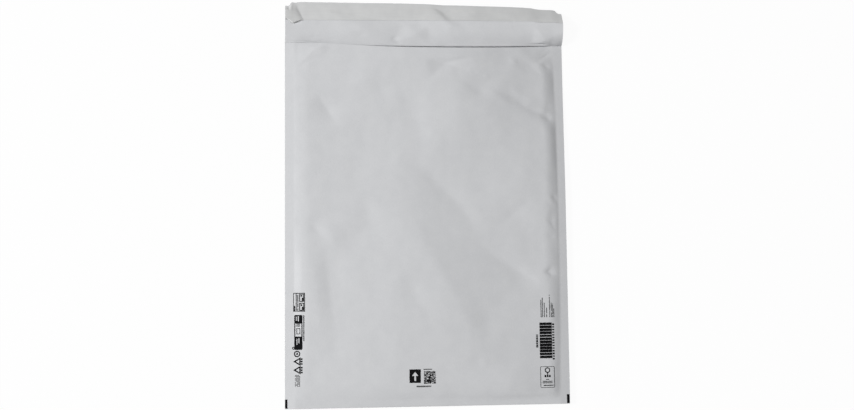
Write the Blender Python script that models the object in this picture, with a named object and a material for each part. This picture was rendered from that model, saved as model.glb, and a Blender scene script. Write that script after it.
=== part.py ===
"""A padded mailing envelope, empty and open, lying on its back with the flap laid out flat.

Four pieces: one folded sheet of white paper, a welded pouch of bubble film inside it, the
strip of adhesive on the flap, and the release strip that still covers the adhesive.
X is the width, +Y runs from the bottom fold to the flap, and +Z is up, from the table
through the back panel and the pocket to the front panel.
"""

import math
from collections import namedtuple

import bmesh
import bpy
from mathutils import Vector, geometry

# The sheet and its seams, in metres
WIDTH = 0.290
LENGTH = 0.373
FLAP = 0.0458
SIDE_SEAL = 0.010
FOLD_STRIP = 0.0076

# The layers, from outside in, and the space that the empty pocket keeps
PAPER = 0.00015
LAYER_GAP = 0.0003
FILM = 0.0005
BUBBLE_HEIGHT = 0.0028
BUBBLE_PITCH = 0.0165
BARE_MOUTH = 0.0147
POCKET = 0.005

# How the panels rise from the seams
SEAL_LEVEL = 0.0042
SEAL_DROOP = 0.0012
SIDE_RUN = 0.011
SIDE_ROUND = 0.008
FOLD_RUN = 0.006
FOLD_ROUND = 0.008
FOLD_STRIP_RISE = 0.28
CORNER_PINCH_LEFT = 0.044
CORNER_PINCH_RIGHT = 0.032
CORNER_LIFT = 0.08
MOUTH_BOW = 0.0058
MOUTH_BOW_REACH = 0.10
POUCH_EDGE = 0.0015

# The flap: its notched corners, and how far it stands off the table at each end
NOTCH_DEPTH = 0.0046
NOTCH_FLAT = 0.0035
NOTCH_SLOPE = 0.0035
FLAP_LEVEL_LEFT = 0.0014
FLAP_LEVEL_RIGHT = 0.0108
FLAP_ARCH_LEFT = 0.0006
FLAP_ARCH_RIGHT = 0.0046
FLAP_EDGE_LEVEL = 0.0002
FLAP_CURL_SPREAD = 1.6

# The strips on the flap
ADHESIVE_WIDTH = 0.012
ADHESIVE_THICK = 0.0003
ADHESIVE_INSET = 0.0042
RELEASE_WIDTH = 0.0186
RELEASE_THICK = 0.00015
RELEASE_INSET = 0.0008
PUCKER_HEIGHT = 0.0022

# Mesh spacing
COLUMN_STEP = 0.023
ROW_STEP = 0.0165
BACK_STEP = 0.120
CORNER_STEP = 0.008
FLAP_STEP = 0.008
FOLD_FACETS = 4
ROUND_FACETS = 3
PROFILE_STEPS = 48
EVEN_SPLIT = 1e-5

# Worked out from the sizes above
HALF_STACK = PAPER + LAYER_GAP + FILM
THICKNESS = 2 * (HALF_STACK + BUBBLE_HEIGHT) + POCKET
FRONT_RISE = THICKNESS - SEAL_LEVEL - HALF_STACK
BACK_DROP = SEAL_LEVEL - HALF_STACK
HALF_WIDTH = WIDTH / 2
SEAL_X = HALF_WIDTH - SIDE_SEAL
STRIP_START = FLAP - RELEASE_INSET - RELEASE_WIDTH

# A soft crease in the front panel. Its ends are measured inwards from the side edge that
# it belongs to, 1 for the right and -1 for the left, and down from the mouth.
Crease = namedtuple("Crease", "side inward down inward_end down_end depth half_width")

CREASES = (
    Crease(1, 0.012, 0.008, 0.022, 0.016, 0.0009, 0.006),
    Crease(1, 0.012, 0.052, 0.058, 0.074, 0.0006, 0.009),
    Crease(1, 0.012, 0.164, 0.026, 0.156, 0.0009, 0.007),
    Crease(1, 0.012, 0.237, 0.026, 0.231, 0.0010, 0.007),
    Crease(-1, 0.012, 0.118, 0.022, 0.123, 0.0008, 0.007),
    Crease(-1, 0.012, 0.183, 0.034, 0.192, 0.0010, 0.008),
    Crease(-1, 0.016, 0.022, 0.034, 0.008, 0.0006, 0.007),
    Crease(-1, 0.143, 0.115, 0.206, 0.255, 0.0004, 0.012),
    Crease(1, 0.130, 0.012, 0.138, 0.040, 0.0004, 0.010),
)


def clear_scene():
    for obj in list(bpy.data.objects):
        bpy.data.objects.remove(obj)


def make_material(name, colour, roughness, alpha=1.0):
    material = bpy.data.materials.new(name)
    material.use_nodes = True
    shader = material.node_tree.nodes["Principled BSDF"]
    shader.inputs["Base Color"].default_value = (*colour, 1.0)
    shader.inputs["Roughness"].default_value = roughness
    shader.inputs["Metallic"].default_value = 0.0
    shader.inputs["Alpha"].default_value = alpha
    return material


def spaced(start, end, step):
    """Even stations from start up to, but not including, end, no further apart than step."""
    count = max(1, math.ceil((end - start) / step - 1e-6))
    return [start + (end - start) * i / count for i in range(count)]


def ease(share):
    """0 to 1 with no slope at either end."""
    share = min(max(share, 0.0), 1.0)
    return share * share * (3 - 2 * share)


def ramp(distance, run, rounding):
    """A straight slope over run that rounds off to level over rounding: 0 to 1."""
    if distance <= 0:
        return 0.0
    if distance <= run:
        height = distance
    else:
        past = min(distance - run, rounding)
        height = run + past - past * past / (2 * rounding)
    return height / (run + rounding / 2)


def side_lift(x):
    return ramp(SEAL_X - abs(x), SIDE_RUN, SIDE_ROUND)


def fold_lift(down):
    """The rise away from the bottom fold: gently over the bare paper strip, then up the film."""
    if down <= FOLD_STRIP:
        return FOLD_STRIP_RISE * max(down, 0.0) / FOLD_STRIP
    return FOLD_STRIP_RISE + (1 - FOLD_STRIP_RISE) * ramp(down - FOLD_STRIP, FOLD_RUN, FOLD_ROUND)


def corner_lift(x, along):
    """The panels pinch together across the two corners of the mouth."""
    reach = CORNER_PINCH_LEFT if x < 0 else CORNER_PINCH_RIGHT
    from_corner = SEAL_X - abs(x) + LENGTH - along
    return ease(CORNER_LIFT + from_corner / reach)


def lift(x, along):
    """0 where the panels are held together, 1 where the padding is at its full height."""
    return side_lift(x) * fold_lift(along) * corner_lift(x, along)


def middle(x):
    """Height of the plane between the two panels along the seams."""
    return SEAL_LEVEL - SEAL_DROOP * max(0.0, abs(x) - SEAL_X) / SIDE_SEAL


def crease_depth(x, along):
    """How far the creases sink the front panel at a point of it."""
    point = Vector((x, along))
    total = 0.0
    for crease in CREASES:
        start = Vector((crease.side * (HALF_WIDTH - crease.inward), LENGTH - crease.down))
        end = Vector((crease.side * (HALF_WIDTH - crease.inward_end), LENGTH - crease.down_end))
        nearest, share = geometry.intersect_point_line(point, start, end)
        if share < 0:
            nearest = start
        elif share > 1:
            nearest = end
        total += crease.depth * math.exp(-(((point - nearest).length / crease.half_width) ** 2))
    return total * side_lift(x) * min(1.0, fold_lift(along))


def mouth_bow(x, along):
    """The puffed front panel draws back from the mouth line, most of all in the middle."""
    across = 1 - (x / SEAL_X) ** 2
    return MOUTH_BOW * max(0.0, across) * ease(1 - (LENGTH - along) / MOUTH_BOW_REACH)


def front_point(x, along, inset=0.0):
    """A point of the front panel, inset metres below its outer face."""
    height = middle(x) + HALF_STACK + lift(x, along) * FRONT_RISE - crease_depth(x, along)
    return Vector((x, along - mouth_bow(x, along), height - inset))


def back_point(x, along, inset=0.0):
    """A point of the back panel, inset metres above its outer face."""
    height = middle(x) - HALF_STACK - lift(x, along) * BACK_DROP
    return Vector((x, along, height + inset))


def fold_point(x, angle):
    """A point of the bottom fold: angle 0 meets the front panel and pi meets the back."""
    return Vector((x, HALF_STACK * (1 - math.sin(angle)), middle(x) + HALF_STACK * math.cos(angle)))


def notch(x):
    """How much of the flap's end the corner notch takes away."""
    from_side = HALF_WIDTH - abs(x)
    return NOTCH_DEPTH * (1 - ease((from_side - NOTCH_FLAT) / NOTCH_SLOPE))


def flap_height(x, out):
    """Height of the flap's underside, at a length out from the mouth line."""
    across = (x + HALF_WIDTH) / WIDTH
    level = FLAP_LEVEL_LEFT + (FLAP_LEVEL_RIGHT - FLAP_LEVEL_LEFT) * across**FLAP_CURL_SPREAD
    arch = FLAP_ARCH_LEFT + (FLAP_ARCH_RIGHT - FLAP_ARCH_LEFT) * across**FLAP_CURL_SPREAD
    if out > STRIP_START:
        share = (out - STRIP_START) / (FLAP - STRIP_START)
        return level + (FLAP_EDGE_LEVEL - level) * share
    share = out / STRIP_START
    root = back_point(x, LENGTH).z
    return root + (level - root) * share + arch * math.sin(math.pi * share)


def flap_point(x, out, above=0.0):
    """A point of the flap at a length out from the mouth line, along the curved paper."""
    if out > STRIP_START:
        out -= notch(x) * (out - STRIP_START) / (FLAP - STRIP_START)
    reach = LENGTH
    height = flap_height(x, 0.0)
    for step in range(PROFILE_STEPS):
        following = flap_height(x, out * (step + 1) / PROFILE_STEPS)
        reach += math.sqrt(max(0.0, (out / PROFILE_STEPS) ** 2 - (following - height) ** 2))
        height = following
    return Vector((x, reach, height + above))


def edge_columns():
    """Stations over the side seal and the slope, outermost first, as distances from the middle."""
    slope_end = SEAL_X - SIDE_RUN
    stations = [HALF_WIDTH, SEAL_X, SEAL_X - SIDE_RUN / 2]
    stations += [slope_end - SIDE_ROUND * i / ROUND_FACETS for i in range(ROUND_FACETS)]
    return stations


def columns(step):
    edge = edge_columns()
    plateau = SEAL_X - SIDE_RUN - SIDE_ROUND
    level = plateau - SIDE_RUN
    inner = [-plateau] + spaced(-level, level, step) + [level, plateau]
    return [-x for x in edge] + inner + edge[::-1]


def rows(step):
    """Stations from the fold to the mouth. The second and third are the pouch's folded end."""
    run_end = FOLD_STRIP + FOLD_RUN
    stations = [HALF_STACK, FOLD_STRIP, FOLD_STRIP + POUCH_EDGE]
    stations += [run_end + FOLD_ROUND * i / ROUND_FACETS for i in range(ROUND_FACETS)]
    corner = LENGTH - max(CORNER_PINCH_LEFT, CORNER_PINCH_RIGHT)
    stations += spaced(run_end + FOLD_ROUND, corner, step)
    stations += spaced(corner, LENGTH, CORNER_STEP) + [LENGTH]
    return stations


def flap_rows():
    """Stations along the flap, among them both edges of the two strips."""
    adhesive_end = FLAP - ADHESIVE_INSET
    adhesive_start = adhesive_end - ADHESIVE_WIDTH
    stations = spaced(0.0, STRIP_START, FLAP_STEP)[1:]
    stations += [STRIP_START, adhesive_start, (adhesive_start + adhesive_end) / 2, adhesive_end]
    return stations + [FLAP - RELEASE_INSET, FLAP]


def add_row(mesh, points):
    return [mesh.verts.new(point) for point in points]


def add_square(mesh, a, b, c, d):
    """Two triangles, split the same way in each layer, so that stacked layers never cross."""
    if c.co.y < a.co.y:
        a, b, c, d = b, c, d, a
    if (b.co - d.co).length < (a.co - c.co).length - EVEN_SPLIT:
        a, b, c, d = b, c, d, a
    mesh.faces.new((a, b, c))
    mesh.faces.new((a, c, d))


def skin(mesh, grid):
    """Triangles over a grid of vertices given as rows."""
    for row, following in zip(grid, grid[1:]):
        for i in range(len(row) - 1):
            add_square(mesh, row[i], following[i], following[i + 1], row[i + 1])


def finish(name, mesh, material, origin):
    """Turns a bmesh into a named object in the part's own frame, with its own material."""
    bmesh.ops.translate(mesh, verts=mesh.verts, vec=-origin)
    data = bpy.data.meshes.new(name)
    mesh.to_mesh(data)
    mesh.free()
    data.materials.append(material)
    obj = bpy.data.objects.new(name, data)
    bpy.context.scene.collection.objects.link(obj)
    data.shade_smooth()
    data.set_sharp_from_angle(angle=math.radians(40))
    return obj


def thicken(obj, thickness):
    """Gives a sheet its thickness, on the side that its normals point away from."""
    modifier = obj.modifiers.new("thickness", "SOLIDIFY")
    modifier.thickness = thickness
    modifier.offset = -1.0


def build_paper(origin):
    """One sheet: the front panel, round the bottom fold, the back panel and the flap."""
    across = columns(COLUMN_STEP)
    mesh = bmesh.new()
    grid = [add_row(mesh, [front_point(x, y) for x in across]) for y in rows(ROW_STEP)[::-1]]
    for i in range(1, FOLD_FACETS):
        angle = math.pi * i / FOLD_FACETS
        grid.append(add_row(mesh, [fold_point(x, angle) for x in across]))
    for y in rows(BACK_STEP):
        grid.append(add_row(mesh, [back_point(x, y) for x in across]))
    for out in flap_rows():
        grid.append(add_row(mesh, [flap_point(x, out) for x in across]))
    skin(mesh, grid)
    colour = make_material("white_paper", (0.61, 0.62, 0.63), 0.62)
    thicken(finish("outer_paper", mesh, colour, origin), PAPER)


def bubble_lattice(low, high):
    """(x, y, raised) points of a triangular lattice in a rectangle; every third is a bubble's top."""
    side = BUBBLE_PITCH / math.sqrt(3)
    step = side * math.sqrt(3) / 2
    centre_x = (low[0] + high[0]) / 2
    margin = side / 2
    points = []
    line_count = int((high[1] - low[1] - 2 * margin) / step) + 1
    first_y = (low[1] + high[1] - (line_count - 1) * step) / 2
    reach = int((high[0] - low[0]) / side) + line_count
    for line in range(line_count):
        y = first_y + line * step
        for place in range(-reach, reach):
            x = centre_x + side * (place + line / 2)
            inside = min(x - low[0], high[0] - x)
            if inside < margin:
                continue
            depth = min(inside, y - low[1], high[1] - y)
            points.append((x, y, (place - line) % 3 == 0 and depth > side * 0.95))
    return points


def bubble_patch(mesh, rim, corners, point_at):
    """Fills the flat middle of a film wall with bubbles.

    rim is the loop of (vertex, x, y) round the patch, and point_at(x, y, raised) places
    a point of the film.
    """
    lattice = bubble_lattice(*corners)
    flat = [Vector((x, y)) for _, x, y in rim] + [Vector((x, y)) for x, y, _ in lattice]
    loop = [(i, (i + 1) % len(rim)) for i in range(len(rim))]
    _, _, faces, sources, _, _ = geometry.delaunay_2d_cdt(flat, loop, [], 0, 1e-7)
    verts = [vertex for vertex, _, _ in rim]
    verts += [mesh.verts.new(point_at(x, y, raised)) for x, y, raised in lattice]
    for face in faces:
        mesh.faces.new([verts[sources[i][0]] for i in face])


def film_wall(mesh, across, along, point_at, seams):
    """The pocket side of one wall of the pouch: plain slopes round a middle full of bubbles.

    seams holds the vertices of the left and right weld, which both walls share.
    Returns the grid of vertices, with None inside the bubbled middle.
    """
    plateau = SEAL_X - SIDE_RUN - SIDE_ROUND
    left = min(range(len(across)), key=lambda i: abs(across[i] + plateau))
    right = min(range(len(across)), key=lambda i: abs(across[i] - plateau))
    bottom = min(range(len(along)), key=lambda i: abs(along[i] - FOLD_STRIP - FOLD_RUN - FOLD_ROUND))
    top = min(range(len(along)), key=lambda i: abs(along[i] - LENGTH + BARE_MOUTH))
    last = len(across) - 1
    grid = []
    for r, y in enumerate(along):
        row = [seams[0][r]]
        for c in range(1, last):
            hidden = left < c < right and bottom < r < top
            row.append(None if hidden else mesh.verts.new(point_at(across[c], y, False)))
        grid.append(row + [seams[1][r]])
    for r in range(len(along) - 1):
        for c in range(last):
            if left <= c < right and bottom <= r < top:
                continue
            add_square(mesh, grid[r][c], grid[r + 1][c], grid[r + 1][c + 1], grid[r][c + 1])
    ring = [(bottom, c) for c in range(left, right)] + [(r, right) for r in range(bottom, top)]
    ring += [(top, c) for c in range(right, left, -1)] + [(r, left) for r in range(top, bottom, -1)]
    rim = [(grid[r][c], across[c], along[r]) for r, c in ring]
    corners = ((across[left], along[bottom]), (across[right], along[top]))
    bubble_patch(mesh, rim, corners, point_at)
    return grid


def build_liner(origin):
    """The bubble film pouch: folded at the bottom, welded down both sides, open at the mouth."""
    outer_inset = PAPER + LAYER_GAP
    front_across = columns(COLUMN_STEP)
    back_across = columns(BACK_STEP)
    along = rows(ROW_STEP)[1:]
    mesh = bmesh.new()

    front = [add_row(mesh, [front_point(x, y, outer_inset) for x in front_across]) for y in along]
    back = [add_row(mesh, [back_point(x, y, outer_inset) for x in back_across]) for y in along]
    skin(mesh, front)
    skin(mesh, back)
    for edge in (0, -1):
        skin(mesh, [[row[edge] for row in front], [row[edge] for row in back]])
    mesh.faces.new(front[0] + back[0][::-1])

    pocket = along[1:]
    seams = [add_row(mesh, [Vector((x, y, middle(x))) for y in pocket]) for x in (-SEAL_X, SEAL_X)]

    def front_wall(x, y, raised):
        return front_point(x, y, HALF_STACK + BUBBLE_HEIGHT * raised)

    def back_wall(x, y, raised):
        return back_point(x, y, HALF_STACK + BUBBLE_HEIGHT * raised)

    inner_front = film_wall(mesh, front_across[1:-1], pocket, front_wall, seams)
    inner_back = film_wall(mesh, back_across[1:-1], pocket, back_wall, seams)
    mesh.faces.new(inner_front[0] + inner_back[0][-2:0:-1])

    for outer, inner in ((front[-1], inner_front[-1]), (back[-1], inner_back[-1])):
        skin(mesh, [outer[1:-1], inner])
    for edge, inside, seam in ((0, 1, seams[0]), (-1, -2, seams[1])):
        weld = (front[-1][edge], front[-1][inside], seam[-1], back[-1][inside], back[-1][edge])
        mesh.faces.new(weld)

    bmesh.ops.recalc_face_normals(mesh, faces=mesh.faces)
    colour = make_material("bubble_film", (0.80, 0.82, 0.84), 0.28, alpha=0.75)
    finish("bubble_liner", mesh, colour, origin)


def release_pucker(x, out):
    """The release strip has lifted in a small pointed fold near its left end."""
    across = 1 - abs(x + SEAL_X - SIDE_RUN / 2) / (SIDE_RUN * 0.75)
    share = (out - STRIP_START) / RELEASE_WIDTH
    return PUCKER_HEIGHT * max(0.0, across) * max(0.0, 1 - share)


def build_strip(name, start, end, level, thickness, shape, material, origin):
    """A strip on the flap from length start to length end, level metres over the paper."""
    mesh = bmesh.new()
    stations = [out for out in flap_rows() if start - 1e-6 <= out <= end + 1e-6]
    for base in (level + thickness, level):
        for out in stations:
            add_row(mesh, [flap_point(x, out, PAPER + base + shape(x, out)) for x in columns(COLUMN_STEP)])
    count = len(columns(COLUMN_STEP))
    verts = list(mesh.verts)
    lines = [verts[i : i + count] for i in range(0, len(verts), count)]
    upper = lines[: len(stations)]
    lower = lines[len(stations) :]
    skin(mesh, upper)
    skin(mesh, lower)
    for edge in (0, -1):
        skin(mesh, [[line[edge] for line in upper], [line[edge] for line in lower]])
        skin(mesh, [upper[edge], lower[edge]])
    bmesh.ops.recalc_face_normals(mesh, faces=mesh.faces)
    finish(name, mesh, material, origin)


def build_adhesive(origin):
    end = FLAP - ADHESIVE_INSET
    colour = make_material("clear_adhesive", (0.74, 0.70, 0.58), 0.35)
    build_strip(
        "seal_adhesive", end - ADHESIVE_WIDTH, end, LAYER_GAP, ADHESIVE_THICK,
        lambda x, out: 0.0, colour, origin,
    )


def build_release(origin):
    level = 2 * LAYER_GAP + ADHESIVE_THICK
    colour = make_material("release_paper", (0.58, 0.58, 0.57), 0.45)
    build_strip(
        "release_liner", STRIP_START, FLAP - RELEASE_INSET, level, RELEASE_THICK,
        release_pucker, colour, origin,
    )


def main():
    clear_scene()
    reach = max(flap_point(x, FLAP).y for x in columns(COLUMN_STEP))
    origin = Vector((0.0, reach / 2, 0.0))
    build_paper(origin)
    build_liner(origin)
    build_adhesive(origin)
    build_release(origin)


main()
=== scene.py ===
"""The looks of a padded mailing envelope, open and empty, lying on its back on a pale floor.

The sheet of white paper, the pouch of bubble film, the two strips on the flap and the print
are fine meshes on the same surfaces as the solids, with the creases and dents of thin paper.
X is the width, +Y runs from the bottom fold to the flap and +Z is up. Places on the front and
back panels are given as x and the length along the paper from the bottom fold, and places on
the flap as x and the length out from the mouth line, all in metres.
"""

import math
from collections import namedtuple

import bmesh
import bpy
import numpy as np
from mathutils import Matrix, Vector, noise


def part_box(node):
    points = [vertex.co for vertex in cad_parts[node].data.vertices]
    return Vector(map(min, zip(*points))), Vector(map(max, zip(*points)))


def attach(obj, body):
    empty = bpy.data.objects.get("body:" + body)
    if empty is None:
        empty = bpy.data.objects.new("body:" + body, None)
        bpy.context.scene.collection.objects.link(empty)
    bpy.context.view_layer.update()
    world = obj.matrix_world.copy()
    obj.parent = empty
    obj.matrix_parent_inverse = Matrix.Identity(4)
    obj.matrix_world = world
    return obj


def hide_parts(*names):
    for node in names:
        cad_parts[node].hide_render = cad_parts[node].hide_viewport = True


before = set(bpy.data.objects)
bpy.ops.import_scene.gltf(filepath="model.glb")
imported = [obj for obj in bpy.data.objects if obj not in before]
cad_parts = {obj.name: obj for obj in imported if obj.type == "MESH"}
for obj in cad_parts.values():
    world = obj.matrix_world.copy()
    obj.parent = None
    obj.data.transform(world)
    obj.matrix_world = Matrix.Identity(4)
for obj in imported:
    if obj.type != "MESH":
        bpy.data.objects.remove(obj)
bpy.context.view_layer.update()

# Sizes of the solids that the looks keep
FOLD_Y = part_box("outer_paper")[0].y
HALF_WIDTH = 0.145
LENGTH = 0.373
FLAP = 0.0458
SEAL_LEVEL = 0.0042
SEAL_X = 0.135
FOLD_STRIP = 0.0076
FOLD_STRIP_RISE = 0.28
CORNER_PINCH_LEFT = 0.044
CORNER_LIFT = 0.08
MOUTH_BOW_REACH = 0.10
NOTCH_DEPTH = 0.0046
NOTCH_FLAT = 0.0035
NOTCH_SLOPE = 0.0035
FLAP_LEVEL_LEFT = 0.0014
FLAP_ARCH_LEFT = 0.0006
FLAP_EDGE_LEVEL = 0.0002
FLAP_CURL_SPREAD = 1.6
ADHESIVE_WIDTH = 0.012
ADHESIVE_INSET = 0.0042
RELEASE_WIDTH = 0.0186
RELEASE_INSET = 0.0008
STRIP_START = FLAP - RELEASE_INSET - RELEASE_WIDTH

# How the seams, the corners and the mouth lie in the photograph, inside the solids' box
SEAL_DROOP = 0.0010
CORNER_PINCH_RIGHT = 0.045
CORNER_RUN = 0.8
CORNER_ROUND = 0.2
MOUTH_BOW = 0.0046
MOUTH_BOW_MIDDLE = 0.018
MOUTH_BOW_HALF = 0.124
BACK_BOW_SHARE = 0.36
BACK_BOW_REACH = 0.03
MOUTH_RIDGE = 0.0034
MOUTH_RIDGE_RISE = 0.0005
MOUTH_RIDGE_REACH = 0.007

# The curl of the flap on its right, and how far its creases keep off its root and its end
FLAP_LEVEL_RIGHT = 0.0116
FLAP_ARCH_RIGHT = 0.0036
FLAP_ROOT_HOLD = 0.002
FLAP_END_HOLD = 0.006

# The slopes up from the seams and the bottom strip: a short straight run that rounds off slowly
LEFT_SLOPE_X = -0.1355
LEFT_RUN = 0.003
LEFT_ROUND = 0.012
RIGHT_SLOPE_X = 0.1347
RIGHT_BULGE = 0.0021
RIGHT_RUN = 0.003
RIGHT_ROUND = 0.010
RIGHT_TOP_START = 0.20
RIGHT_TOP_REACH = 0.15
FOLD_RUN = 0.003
FOLD_ROUND = 0.016

# The seams ride up a little between the pads, and the front panel is lower round its rim
CROWN = 0.0112
LEFT_SEAM_RISE = 0.0023
RIGHT_SEAM_RISE = 0.0008
RIGHT_TOP_DIP = 0.0036
LEFT_FALL = 0.0030
RIGHT_FALL = 0.0034
RIGHT_TOP_FALL = 0.0028
END_FALL = 0.0006
CROWN_REACH = 0.110
RELIEF_SPREAD = 1.4
RELIEF_SHARE = 0.3

# Real thickness of the layers, and the gaps that keep them apart
PAPER = 0.00015
SEAM_HALF = 0.0003
FILM = 0.00008
FILM_GAP = 0.00005
FILM_SLACK = 0.0003
FILM_MOUTH_GAP = 0.003
FILM_EDGE = 0.0006
ADHESIVE_THICK = 0.00014
RELEASE_THICK = 0.0001
LAYER_SLIP = 0.00003

# Bubbles
BUBBLE_PITCH = 0.0122
BUBBLE_RADIUS = 0.0049
BUBBLE_HEIGHT = 0.0030
BUBBLE_FULLNESS = 0.8
BUBBLE_LEAST_RISE = 0.3
BUBBLE_CLEARANCE = 0.0003
BUBBLE_MOUTH_GAP = 0.0147
BUBBLE_SINK = 0.8
BUBBLE_SIDES = 12
BUBBLE_RINGS = 6

# Mesh spacing and where it changes, and the angles in degrees above which edges stay sharp
FINE = 0.0014
COARSE = 0.0025
PANEL_STEP = 0.0018
BACK_STEP = 0.0090
FLAP_STEP = 0.0011
FOLD_FACETS = 8
FILM_STEP = 0.0034
FLAP_SAMPLES = 460
FLAP_ROOT = 0.0024
FLAP_BEND = 0.0064
LEFT_FINE_EXTRA = 6
STRIP_EDGE = 0.0003
STRIP_FINE_END = -0.120
STRIP_FINE_STEP = 0.0006
STRIP_FINE_ROWS = 0.003
SHEET_SHARP = 50
SMALL_SHARP = 60

# The lifted end of the release strip
PEEL_X = -0.1260
PEEL_OUT = 0.0262
PEEL_LEAN = -0.42
PEEL_RUN = 0.0050
PEEL_HEIGHT = 0.0022
PEEL_SHIFT = 0.0030
PEEL_END_X = -0.1365
PEEL_TAB = 0.007
PEEL_LIP = 0.0009
PEEL_FADE = 0.006

# Print
INK_LIFT = 0.00004
INK_THICK = 0.00003
INK_CELL = 0.001
ROUND_STEPS = 4
TINY = 1e-6
LEFT_COLUMN_SHIFT = 0.0006

# Light: strength of the sky at the horizon, what it gains overhead, and the lamp
SKY_LEAST = 0.10
SKY_OVERHEAD = 0.52
LAMP_PLACE = (-4.19, 0.22, 2.72)
LAMP_SIZE = 1.1
LAMP_WATTS = 262.0

# The floor: half its side, its level, and how much of it is plain white to the camera
FLOOR_REACH = 6.0
FLOOR_LEVEL = -0.0004
FLOOR_GLOW = 0.95

# The camera, fitted to the photograph
CAMERA_PLACE = (-0.08821, -0.10017, 1.10909)
CAMERA_TURN = (0.087, -0.07887, -0.01142)
CAMERA_LENS = 45.53

# A fold or a crease: a line with a valley (height below 0) or a ridge, a bank on either side
# as seen from its start, how round its bottom is, the share of its length at which it is
# deepest, and how far its middle bends to the right
Fold = namedtuple(
    "Fold", "x along x_end along_end height left right round peak bend", defaults=(0.0006, 0.5, 0.0),
)

# A broad soft dent or swell, turned anticlockwise by a number of degrees
Swell = namedtuple("Swell", "x along long_radius short_radius turn height")

# A low pyramid or pit with flat sides: its outline, the place of its tip, and its height
Facet = namedtuple("Facet", "outline tip height")

FRONT_FOLDS = (
    # the long valley from the middle to the right, in two parts, and the ridge beside it
    Fold(-0.0300, 0.2560, 0.0660, 0.1500, -0.0020, 0.018, 0.022, 0.003, 0.40, -0.012),
    Fold(0.0380, 0.1840, 0.1240, 0.1130, -0.0014, 0.018, 0.020, 0.0020, 0.5, 0.006),
    Fold(0.0700, 0.1520, 0.1240, 0.1160, -0.0009, 0.007, 0.010, 0.0008),
    Fold(-0.0360, 0.2250, 0.0700, 0.0300, 0.0017, 0.016, 0.036, 0.006, 0.45),
    # the long wrinkle from the right seam up towards the mouth, in two parts
    Fold(0.0330, 0.3430, 0.0710, 0.3150, -0.0011, 0.024, 0.008, 0.0025, 0.6, 0.001),
    Fold(0.0770, 0.3240, 0.1400, 0.2945, -0.0012, 0.030, 0.005, 0.0006, 0.75, 0.004),
    Fold(0.1100, 0.3085, 0.1400, 0.2985, 0.0005, 0.002, 0.002, 0.0004),
    Fold(0.1180, 0.2970, 0.1400, 0.2925, -0.0008, 0.003, 0.003, 0.0004),
    # the gathered corner beside the right end of the mouth
    Fold(0.1370, 0.3690, 0.1150, 0.3545, -0.0008, 0.0016, 0.0050, 0.0002, 0.5),
    Fold(0.1370, 0.3715, 0.1200, 0.3605, 0.0005, 0.0015, 0.0020, 0.0003, 0.5),
    Fold(0.1200, 0.3565, 0.1345, 0.3480, -0.0006, 0.002, 0.003, 0.0003),
    Fold(0.0870, 0.3640, 0.0985, 0.3520, 0.0005, 0.002, 0.003),
    # the pointed dent under the mouth and what runs down from it
    Fold(0.0310, 0.3560, 0.0365, 0.3330, -0.0005, 0.014, 0.008, 0.0010),
    Fold(-0.0320, 0.3480, 0.0060, 0.2440, -0.0014, 0.018, 0.026, 0.006, 0.5),
    # two small arcs
    Fold(0.0486, 0.3530, 0.0486, 0.3440, 0.0003, 0.002, 0.002, 0.0005, 0.5, 0.0015),
    Fold(0.0610, 0.3440, 0.0655, 0.3395, 0.0003, 0.0016, 0.0016),
    # the wrinkle on the right, above the middle
    Fold(0.1160, 0.2160, 0.0620, 0.1740, -0.0009, 0.024, 0.008, 0.002),
    # short folds across the right rim
    Fold(0.1240, 0.2130, 0.1385, 0.2025, 0.0007, 0.0022, 0.0022, 0.0004, 0.6),
    Fold(0.1290, 0.2165, 0.1385, 0.2070, -0.0009, 0.003, 0.003, 0.0003, 0.6),
    Fold(0.1290, 0.1690, 0.1385, 0.1752, 0.0007, 0.0018, 0.0022, 0.0003, 0.6),
    Fold(0.1290, 0.1340, 0.1385, 0.1350, 0.0006, 0.0015, 0.0015, 0.0003, 0.6),
    # top left: the pinched corner and the raised patch
    Fold(-0.1150, 0.3240, -0.0880, 0.2820, -0.0013, 0.013, 0.012, 0.0008),
    Fold(-0.0560, 0.3480, -0.0380, 0.3100, -0.0007, 0.010, 0.010, 0.003),
    # left: the pinch in the seam, with a ridge and a valley down from it
    Fold(-0.1260, 0.1920, -0.0960, 0.1640, -0.0007, 0.012, 0.006, 0.0010, 0.4),
    Fold(-0.1250, 0.2000, -0.1040, 0.0400, 0.0009, 0.012, 0.030, 0.003),
    Fold(-0.1070, 0.1850, -0.0910, 0.0450, -0.0009, 0.030, 0.007, 0.002),
    Fold(-0.0990, 0.1670, -0.0260, 0.1920, -0.0008, 0.010, 0.020, 0.002),
    Fold(-0.0200, 0.1350, -0.0080, 0.0950, -0.0007, 0.012, 0.010, 0.003),
    Fold(-0.0600, 0.2150, -0.0640, 0.1750, -0.0007, 0.012, 0.012, 0.004),
    Fold(0.0539, 0.0490, 0.0600, 0.0380, 0.0003, 0.002, 0.002),
    Fold(0.0460, 0.1040, 0.0720, 0.0600, -0.0007, 0.016, 0.012, 0.004),
)

FRONT_SWELLS = (
    Swell(0.0650, 0.3200, 0.0500, 0.0400, 0.0, 0.0012),
    Swell(0.1000, 0.2400, 0.0600, 0.0240, 80.0, 0.0006),
    Swell(-0.0580, 0.3350, 0.0160, 0.0110, 0.0, 0.0007),
    Swell(-0.1000, 0.1750, 0.0120, 0.0120, 0.0, 0.0005),
    Swell(-0.0560, 0.2650, 0.0750, 0.0450, 90.0, -0.0018),
    Swell(0.0880, 0.0200, 0.0340, 0.0200, 0.0, 0.0020),
    Swell(0.0480, 0.2050, 0.0700, 0.0450, 90.0, -0.0017),
)

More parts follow.
